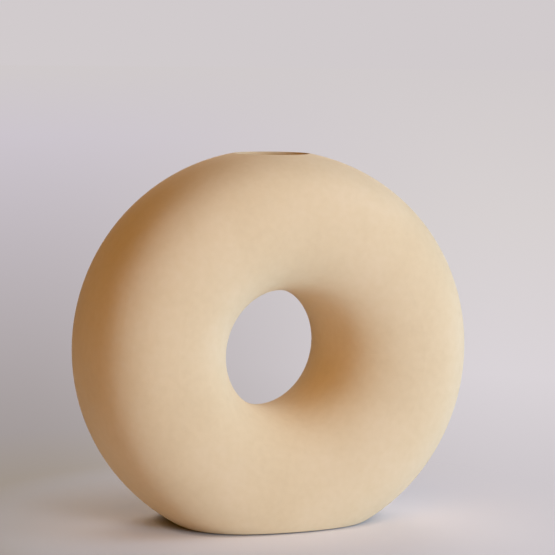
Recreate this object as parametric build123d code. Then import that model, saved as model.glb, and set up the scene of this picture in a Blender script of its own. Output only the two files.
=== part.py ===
from build123d import *
import math
import os

# A hollow ring vase that stands on a flat foot, with a round mouth cut flat through its crown.
# Millimetres. +Z is up and the ring's axis runs along Y, front to back.
# The origin is on the surface that the vase stands on, under the middle of the ring.

# The ring
ring_diameter = 216.0
hole_diameter = 64.5
tube_depth = 98.0
wall = 4.5
# at 0.55 the tube's section is an ellipse, and above that it is fuller at its four corners
fullness_share = 0.69

# The mouth
mouth_diameter = 40.0
# the lip's level edge where it is thinnest
lip_land = 0.7
lip_round = 0.3
crease_round = 1.0

# The foot
# how much of the ring's lowest part is left off to make the foot flat
foot_cut = 14.5
foot_round = 1.2
foot_rim_width = 8.0
recess_depth = 1.5
floor_round = 6.0

# The glaze that lines the hollow
glaze_thickness = 0.4
glaze_below_lip = 1.0

# The pads under the foot
pad_diameter = 12.0
pad_thickness = 2.0
pad_edge_gap = 3.0

# How far a cutting solid runs past what it cuts
overrun = 5.0

# Places worked out from the sizes above
ring_radius = ring_diameter / 2
tube_radius = (ring_diameter + hole_diameter) / 4
tube_half_width = (ring_diameter - hole_diameter) / 4
mouth_radius = mouth_diameter / 2
foot_level = pad_thickness - recess_depth
floor_level = foot_level + recess_depth + wall
ring_middle = foot_level + ring_radius - foot_cut


def tube_section(inset):
    """The tube's full oval section, drawn in on all sides by the inset: a curve for each quarter."""
    quarters = []
    for across in (tube_half_width - inset, inset - tube_half_width):
        for along in (tube_depth / 2 - inset, inset - tube_depth / 2):
            quarters.append(
                Bezier(
                    (tube_radius + across, 0),
                    (tube_radius + across, along * fullness_share),
                    (tube_radius + across * fullness_share, along),
                    (tube_radius, along),
                )
            )
    return make_face(quarters)


def level_of_lip():
    """Where the crown is cut level: as high as it is still wide enough for the mouth and its lip."""
    reach = mouth_radius + lip_land
    across_crown = tube_section(0) & Line((tube_radius, reach), (ring_diameter, reach))
    along_crown = math.sqrt(ring_radius**2 - reach**2)
    return ring_middle + min(along_crown, across_crown.bounding_box().max.X)


lip_level = level_of_lip()


def full_ring(inset):
    """The whole closed ring, before its crown and its foot are cut flat."""
    ring = revolve(tube_section(inset), axis=Axis.Y, revolution_arc=360)
    return Pos(0, 0, ring_middle) * ring


def outside_form():
    """The vase's outer form as one solid: level at the lip and at the foot, both edges softened."""
    form = full_ring(0).split(Plane.XY.offset(lip_level), keep=Keep.BOTTOM)
    form = form.split(Plane.XY.offset(foot_level), keep=Keep.TOP)
    form = fillet(form.edges().group_by(Axis.Z)[0], foot_round)
    return fillet(form.edges().group_by(Axis.Z)[-1], crease_round)


def mouth_shaft(radius, top):
    """A round shaft from the middle of the hollow under the crown up to the given level."""
    start = ring_middle + tube_radius
    return Pos(0, 0, start) * Cylinder(radius, top - start, align=(Align.CENTER, Align.CENTER, Align.MIN))


def hollow(inset, top):
    """The space inside the clay, drawn in by the inset: a rounded floor, and a shaft up to the top."""
    space = full_ring(wall + inset).split(Plane.XY.offset(floor_level + inset), keep=Keep.TOP)
    space = fillet(space.edges().group_by(Axis.Z)[0], floor_round - inset)
    return space + mouth_shaft(mouth_radius - inset, top)


def recess_half_sizes(form):
    """Half the length and half the depth of the foot's oval recess, inside the rim that stands."""
    foot = form.faces().sort_by(Axis.Z)[0].bounding_box().size
    return foot.X / 2 - foot_rim_width, foot.Y / 2 - foot_rim_width


def ring_body(form):
    """The fired clay: an even wall all round, a thin level lip and a recessed foot."""
    body = form - hollow(0, lip_level + overrun)
    lip = body.edges().filter_by(GeomType.CIRCLE).group_by(Axis.Z)[-1]
    body = fillet(lip, lip_round)
    recess = Plane.XY.offset(foot_level - overrun) * Ellipse(*recess_half_sizes(form))
    return body - extrude(recess, recess_depth + overrun)


def inner_glaze():
    """The clear glaze on the floor, the walls and the mouth's shaft, up to just below the lip."""
    top = lip_level - glaze_below_lip
    return hollow(0, top) - hollow(glaze_thickness, top)


def foot_pad(x, y):
    """A soft disc stuck in the recess, a little proud of the foot's rim."""
    pad = Cylinder(pad_diameter / 2, pad_thickness, align=(Align.CENTER, Align.CENTER, Align.MIN))
    return Pos(x, y, 0) * pad


def pad_places(form):
    """The pads' middles: one toward each quarter of the oval recess, clear of its edge."""
    half_length, half_depth = recess_half_sizes(form)
    inward = pad_diameter / 2 + pad_edge_gap
    reach_share = math.cos(math.radians(45))
    for side in (-reach_share, reach_share):
        for end in (-reach_share, reach_share):
            yield end * (half_length - inward), side * (half_depth - inward)


os.makedirs("parts", exist_ok=True)
outside = outside_form()
export_step(ring_body(outside), "parts/ring_body.step")
export_step(inner_glaze(), "parts/inner_glaze.step")
for number, (x, y) in enumerate(pad_places(outside), 1):
    export_step(foot_pad(x, y), f"parts/foot_pad_{number}.step")
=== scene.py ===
import math

import bmesh
import bpy
from mathutils import Matrix, Vector

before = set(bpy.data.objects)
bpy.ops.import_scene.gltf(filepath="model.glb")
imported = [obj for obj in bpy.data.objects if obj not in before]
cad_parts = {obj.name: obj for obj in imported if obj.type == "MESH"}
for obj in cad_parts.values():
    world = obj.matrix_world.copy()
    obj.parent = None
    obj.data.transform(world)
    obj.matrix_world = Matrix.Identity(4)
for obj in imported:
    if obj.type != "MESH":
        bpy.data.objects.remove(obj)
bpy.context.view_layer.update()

# The ring: one shell of fine-grained cream stoneware, slip-cast in a two-part plaster mould.
# Its seam is fettled away and the whole skin wiped with a damp sponge before the firing, and it is
# left unglazed outside, so it is even, dry and velvety, with only a faint grain and cloudiness.
clay_dark, clay_mid, clay_light = "dac4a0", "dfcaa7", "e3cfaf"
cloud_mm, mottle_mm = 55.0, 4.0
cloud_share, mottle_share = 0.65, 0.35
# the sponge leaves soft waves
wipe_mm, wipe_height_mm = 14.0, 0.4
# the real grain is under 0.1 mm, and this is as coarse as it needs to be to show as a dry surface
grain_mm, grain_height_mm = 0.45, 0.06
# a noise pattern's values lie around the middle one of these, and mostly between the other two
noise_low, noise_middle, noise_high = 0.3, 0.5, 0.7


def linear(hex_colour):
    """An sRGB hex colour as the linear red, green, blue and alpha that a node takes."""
    channels = [int(hex_colour[i:i + 2], 16) / 255 for i in (0, 2, 4)]
    return [c / 12.92 if c <= 0.04045 else ((c + 0.055) / 1.055) ** 2.4 for c in channels] + [1.0]


def add_node(tree, kind, values=None, links=None, **settings):
    """Adds a node, sets its settings and its inputs' values, and links other nodes' outputs to it."""
    node = tree.nodes.new(kind)
    for name, value in settings.items():
        setattr(node, name, value)
    for socket, value in (values or {}).items():
        node.inputs[socket].default_value = value
    for socket, output in (links or {}).items():
        tree.links.new(output, node.inputs[socket])
    return node


def set_tones(ramp, tones):
    """Gives a colour ramp its tones, each with its place on the ramp from 0 to 1."""
    stops = ramp.color_ramp.elements
    while len(stops) < len(tones):
        stops.new(0.5)
    for stop, (position, tone) in zip(stops, tones):
        stop.position, stop.color = position, linear(tone)


def new_material(name):
    """An empty node material, with its tree and the output that its shader is linked to."""
    material = bpy.data.materials.new(name)
    material.use_nodes = True
    material.node_tree.nodes.clear()
    return material, material.node_tree, add_node(material.node_tree, "ShaderNodeOutputMaterial")


def dress(node_name, material):
    """Gives a CAD node's object this material in place of its plain one."""
    node_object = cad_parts[node_name]
    node_object.data.materials.clear()
    node_object.data.materials.append(material)
    for slot in node_object.material_slots:
        slot.material = material


# bare fired clay is rough all over and hardly shines, and the mottle shows in its roughness too
clay, tree, output = new_material("sponged_cast_stoneware")
place = add_node(tree, "ShaderNodeTexCoord").outputs["Object"]
cloud = add_node(tree, "ShaderNodeTexNoise", {"Scale": 1000 / cloud_mm, "Detail": 2.0}, {"Vector": place})
mottle = add_node(tree, "ShaderNodeTexNoise", {"Scale": 1000 / mottle_mm, "Detail": 3.0}, {"Vector": place})
tone = add_node(tree, "ShaderNodeMath", {1: mottle_share}, {0: mottle.outputs["Fac"]}, operation="MULTIPLY")
tone = add_node(
    tree,
    "ShaderNodeMath",
    {1: cloud_share},
    {0: cloud.outputs["Fac"], 2: tone.outputs[0]},
    operation="MULTIPLY_ADD",
)
colour = add_node(tree, "ShaderNodeValToRGB", None, {"Fac": tone.outputs[0]})
set_tones(colour, ((noise_low, clay_dark), (noise_middle, clay_mid), (noise_high, clay_light)))
wipe = add_node(tree, "ShaderNodeTexNoise", {"Scale": 1000 / wipe_mm, "Detail": 1.0}, {"Vector": place})
wiped = add_node(
    tree,
    "ShaderNodeBump",
    {"Strength": 0.15, "Distance": wipe_height_mm / 1000},
    {"Height": wipe.outputs["Fac"]},
)
grain = add_node(tree, "ShaderNodeTexNoise", {"Scale": 1000 / grain_mm, "Detail": 2.0}, {"Vector": place})
bump = add_node(
    tree,
    "ShaderNodeBump",
    {"Strength": 0.25, "Distance": grain_height_mm / 1000},
    {"Height": grain.outputs["Fac"], "Normal": wiped.outputs["Normal"]},
)
roughness = add_node(
    tree, "ShaderNodeMapRange", {"To Min": 0.74, "To Max": 0.88}, {"Value": mottle.outputs["Fac"]}
)
shader = add_node(
    tree,
    "ShaderNodeBsdfPrincipled",
    {"IOR": 1.5, "Specular IOR Level": 0.15, "Diffuse Roughness": 0.4},
    {
        "Base Color": colour.outputs["Color"],
        "Roughness": roughness.outputs[0],
        "Normal": bump.outputs["Normal"],
    },
)
tree.links.new(shader.outputs[0], output.inputs["Surface"])
dress("ring_body", clay)

# The glaze: a thin clear coat that is swilled round inside and poured out before the firing, so
# that the porous clay holds water. The clay shows through it, a little darker and wetter, and it
# is glossy, with the soft ripples of a glaze that ran.
glaze_dark, glaze_light = "dabb8f", "e6cba3"
ripple_mm, ripple_height_mm = 11.0, 0.5

glaze, tree, output = new_material("clear_glaze_on_stoneware")
place = add_node(tree, "ShaderNodeTexCoord").outputs["Object"]
ripple = add_node(tree, "ShaderNodeTexNoise", {"Scale": 1000 / ripple_mm, "Detail": 2.0}, {"Vector": place})
colour = add_node(tree, "ShaderNodeValToRGB", None, {"Fac": ripple.outputs["Fac"]})
set_tones(colour, ((noise_low, glaze_dark), (noise_high, glaze_light)))
bump = add_node(
    tree,
    "ShaderNodeBump",
    {"Strength": 0.3, "Distance": ripple_height_mm / 1000},
    {"Height": ripple.outputs["Fac"]},
)
roughness = add_node(
    tree, "ShaderNodeMapRange", {"To Min": 0.1, "To Max": 0.2}, {"Value": ripple.outputs["Fac"]}
)
shader = add_node(
    tree,
    "ShaderNodeBsdfPrincipled",
    {"IOR": 1.52},
    {
        "Base Color": colour.outputs["Color"],
        "Roughness": roughness.outputs[0],
        "Normal": bump.outputs["Normal"],
    },
)
tree.links.new(shader.outputs[0], output.inputs["Surface"])
dress("inner_glaze", glaze)

# The pads: four soft clear silicone discs, stuck in the foot's recess a little proud of the rim,
# so that the bare clay doesn't scratch the furniture. Moulded silicone is cloudy and satin, and
# light goes a little way into it.
silicone_dark, silicone_light = "b9b4a8", "cbc6ba"
haze_mm, light_depth_mm = 2.5, 2.0

silicone, tree, output = new_material("cloudy_moulded_silicone")
place = add_node(tree, "ShaderNodeTexCoord").outputs["Object"]
haze = add_node(tree, "ShaderNodeTexNoise", {"Scale": 1000 / haze_mm, "Detail": 3.0}, {"Vector": place})
colour = add_node(tree, "ShaderNodeValToRGB", None, {"Fac": haze.outputs["Fac"]})
set_tones(colour, ((noise_low, silicone_dark), (noise_high, silicone_light)))
roughness = add_node(
    tree, "ShaderNodeMapRange", {"To Min": 0.42, "To Max": 0.58}, {"Value": haze.outputs["Fac"]}
)
shader = add_node(
    tree,
    "ShaderNodeBsdfPrincipled",
    {"IOR": 1.41, "Subsurface Weight": 0.4, "Subsurface Scale": light_depth_mm / 1000},
    {"Base Color": colour.outputs["Color"], "Roughness": roughness.outputs[0]},
)
tree.links.new(shader.outputs[0], output.inputs["Surface"])
for number in (1, 2, 3, 4):
    dress(f"foot_pad_{number}", silicone)

# The floor: a wide sheet of pale lilac-grey paper. Near the vase it takes the lamps' light and keeps
# the vase's shadow, with painted shade in the gap under it. Further out it fades into a glowing tone
# with painted light and shade: darker and warmer low on the left, paler on the right, and the same all
# round far off.
floor_radius, floor_sides = 60.0, 96
paper = "f3f5fd"
# the lamps' light fades into the backdrop's tone between these distances from the floor's middle
fade_start, fade_end = 0.05, 0.2
# painted contact shadow: on the left, the paper is painted dark brown in the narrow gap under the vase,
# where the clay is less than this far above it, and plain where more than this share of the view upward is
# open
painted_shade_brown = "381400"
gap_height_mm, open_share = 7.5, 0.65
# the backdrop's tones by nearness, which is 1 at the floor's middle and half that at this distance
half_distance = 1.2
# painted shade on the left, darker and warmer close in where the vase's shadow falls, and painted light on
# the right
left_painted_shade_tones = ((0.03, "d0cacb"), (0.17, "ccc5cd"), (0.79, "a39b9a"), (0.87, "9f948a"), (0.89, "a19a97"))
right_painted_light_tones = ((0.03, "d2cccd"), (0.33, "d7d1d1"), (0.67, "dad4d8"), (0.86, "cec8cc"))
# the photograph's view is turned by this much from the vase's front
photo_turn = math.radians(22)
# the left tones turn into the right ones between these places across that view, in metres at the vase
left_place, right_place = -0.15, 0.13

floor_mesh = bpy.data.meshes.new("floor")
shape = bmesh.new()
bmesh.ops.create_circle(shape, cap_ends=True, segments=floor_sides, radius=floor_radius)
shape.to_mesh(floor_mesh)
shape.free()
floor = bpy.data.objects.new("floor", floor_mesh)
bpy.context.scene.collection.objects.link(floor)


def looked_at(tree):
    """1 for a ray that looks at the backdrop, from the camera or by way of gloss or glass, or else 0."""
    path = add_node(tree, "ShaderNodeLightPath").outputs
    looks = path["Is Camera Ray"]
    for ray in ("Is Glossy Ray", "Is Transmission Ray"):
        either = {0: looks, 1: path[ray]}
        looks = add_node(tree, "ShaderNodeMath", None, either, operation="MAXIMUM").outputs[0]
    return looks


paper_sheet, tree, output = new_material("lilac_grey_paper")
place = add_node(tree, "ShaderNodeTexCoord").outputs["Object"]
turned = add_node(tree, "ShaderNodeMapping", {"Rotation": (0.0, 0.0, photo_turn)}, {"Vector": place})
across = add_node(tree, "ShaderNodeSeparateXYZ", None, {0: turned.outputs[0]}).outputs["X"]
distance = add_node(tree, "ShaderNodeVectorMath", None, {0: place}, operation="LENGTH").outputs["Value"]
further = add_node(tree, "ShaderNodeMath", {1: half_distance}, {0: distance}, operation="ADD").outputs[0]
nearness = add_node(tree, "ShaderNodeMath", {0: half_distance}, {1: further}, operation="DIVIDE").outputs[0]
spread = add_node(tree, "ShaderNodeMath", None, {0: across, 1: nearness}, operation="MULTIPLY").outputs[0]
rightness = add_node(
    tree,
    "ShaderNodeMapRange",
    {"From Min": left_place, "From Max": right_place},
    {"Value": spread},
    interpolation_type="SMOOTHSTEP",
).outputs[0]
left = add_node(tree, "ShaderNodeValToRGB", None, {"Fac": nearness})
set_tones(left, left_painted_shade_tones)
right = add_node(tree, "ShaderNodeValToRGB", None, {"Fac": nearness})
set_tones(right, right_painted_light_tones)
# the backdrop's painted light and shade, which glows where it is looked at
painted_far_tone = add_node(
    tree, "ShaderNodeMixRGB", None, {0: rightness, 1: left.outputs["Color"], 2: right.outputs["Color"]}
)
far = add_node(tree, "ShaderNodeEmission", {"Strength": 1.0}, {"Color": painted_far_tone.outputs[0]})
# painted shade: ambient occlusion mixes the paper toward dark brown under the vase, on the left only
gap = add_node(tree, "ShaderNodeAmbientOcclusion", {"Distance": gap_height_mm / 1000}).outputs["AO"]
openness = add_node(tree, "ShaderNodeMapRange", {"From Max": open_share}, {"Value": gap}).outputs[0]
painted_shade_mix = add_node(tree, "ShaderNodeMixRGB", {1: linear(painted_shade_brown), 2: linear(paper)}, {0: rightness})
near_tone = add_node(tree, "ShaderNodeMixRGB", {2: linear(paper)}, {0: openness, 1: painted_shade_mix.outputs[0]})
near = add_node(tree, "ShaderNodeBsdfDiffuse", None, {"Color": near_tone.outputs[0]})
fade = add_node(
    tree,
    "ShaderNodeMapRange",
    {"From Min": fade_start, "From Max": fade_end},
    {"Value": distance},
    interpolation_type="SMOOTHSTEP",
).outputs[0]
farness = add_node(tree, "ShaderNodeMath", None, {0: fade, 1: looked_at(tree)}, operation="MULTIPLY")
surface = add_node(
    tree, "ShaderNodeMixShader", None, {0: farness.outputs[0], 1: near.outputs[0], 2: far.outputs[0]}
)
tree.links.new(surface.outputs[0], output.inputs["Surface"])
floor_mesh.materials.append(paper_sheet)

# The room: a pale backdrop all round, which shows its far tone where it is looked at, and lights the
# vase only a little, with a weak warm light.
horizon, warm_room = "d1cbcd", "ffdca8"
room_light = 0.02

world = bpy.data.worlds.new("studio")
bpy.context.scene.world = world
world.use_nodes = True
tree = world.node_tree
tree.nodes.clear()
output = add_node(tree, "ShaderNodeOutputWorld")
room = add_node(tree, "ShaderNodeBackground", {"Color": linear(warm_room), "Strength": room_light})
backdrop = add_node(tree, "ShaderNodeBackground", {"Color": linear(horizon), "Strength": 1.0})
surroundings = add_node(
    tree, "ShaderNodeMixShader", None, {0: looked_at(tree), 1: room.outputs[0], 2: backdrop.outputs[0]}
)
tree.links.new(surroundings.outputs[0], output.inputs["Surface"])

# The lights: square soft boxes around the vase, tinted, and none of them in view.
lamp_distance = 1.5
middle_of_vase = Vector((0, 0, 0.1))


def direction(azimuth, elevation):
    """From the vase toward a place around it. Azimuth 0 is in front, and 90 is on the right."""
    turn, rise = math.radians(azimuth), math.radians(elevation)
    return Vector((math.sin(turn) * math.cos(rise), -math.cos(turn) * math.cos(rise), math.sin(rise)))


def soft_box(name, azimuth, elevation, size, colour, power):
    """A square soft box that faces the vase."""
    toward = direction(azimuth, elevation)
    light = bpy.data.lights.new(name, "AREA")
    light.shape, light.size = "SQUARE", size
    light.color, light.energy = linear(colour)[:3], power
    lamp = bpy.data.objects.new(name, light)
    lamp.location = middle_of_vase + toward * lamp_distance
    lamp.rotation_euler = toward.to_track_quat("Z", "Y").to_euler()
    lamp.visible_camera = False
    bpy.context.scene.collection.objects.link(lamp)


# cool light from the front and a little to the right gives the clay its cream
soft_box("key", azimuth=19, elevation=9, size=0.55, colour="c8e4ff", power=16.4)
# near-white light reaches the right side and the back
soft_box("side", azimuth=62, elevation=26, size=1.0, colour="eef1ff", power=8.6)
soft_box("back", azimuth=158, elevation=25, size=1.0, colour="fff0e4", power=11.5)
# amber light from the left, low and high, makes the shade golden
soft_box("warm_fill", azimuth=-45, elevation=10, size=0.8, colour="ffb41c", power=3.6)
soft_box("warm_top", azimuth=-20, elevation=50, size=1.2, colour="ffb41c", power=4.6)
# a weak light from high on the right reaches the crown
soft_box("top", azimuth=45, elevation=60, size=1.2, colour="eef5ff", power=1.6)

# The camera: the photograph's, a long lens a little above the vase and to its left.
ring_centre = Vector((0, 0, 0.094))
camera_azimuth, camera_elevation, camera_distance = -22.0107, 7.5064, 1.2
lens_mm, sensor_mm = 142.768, 36.0
# the camera's small turns about its own axes, in degrees, which place the vase in the frame
yaw, pitch, roll = -0.1764, 1.832, 0.5608

camera_data = bpy.data.cameras.new("camera")
camera_data.sensor_width = sensor_mm
camera_data.lens = lens_mm
camera_data.clip_start, camera_data.clip_end = 0.05, 200
camera = bpy.data.objects.new("camera", camera_data)
bpy.context.scene.collection.objects.link(camera)
back = direction(camera_azimuth, camera_elevation)
camera.location = ring_centre + back * camera_distance
aim = back.to_track_quat("Z", "Y").to_matrix().to_4x4()
for degrees, axis in ((yaw, "Y"), (pitch, "X"), (roll, "Z")):
    aim = aim @ Matrix.Rotation(math.radians(degrees), 4, axis)
camera.rotation_euler = aim.to_euler()
bpy.context.scene.camera = camera
# the colours show as they are written, with no film's curve over them
bpy.context.scene.view_settings.view_transform = "Standard"
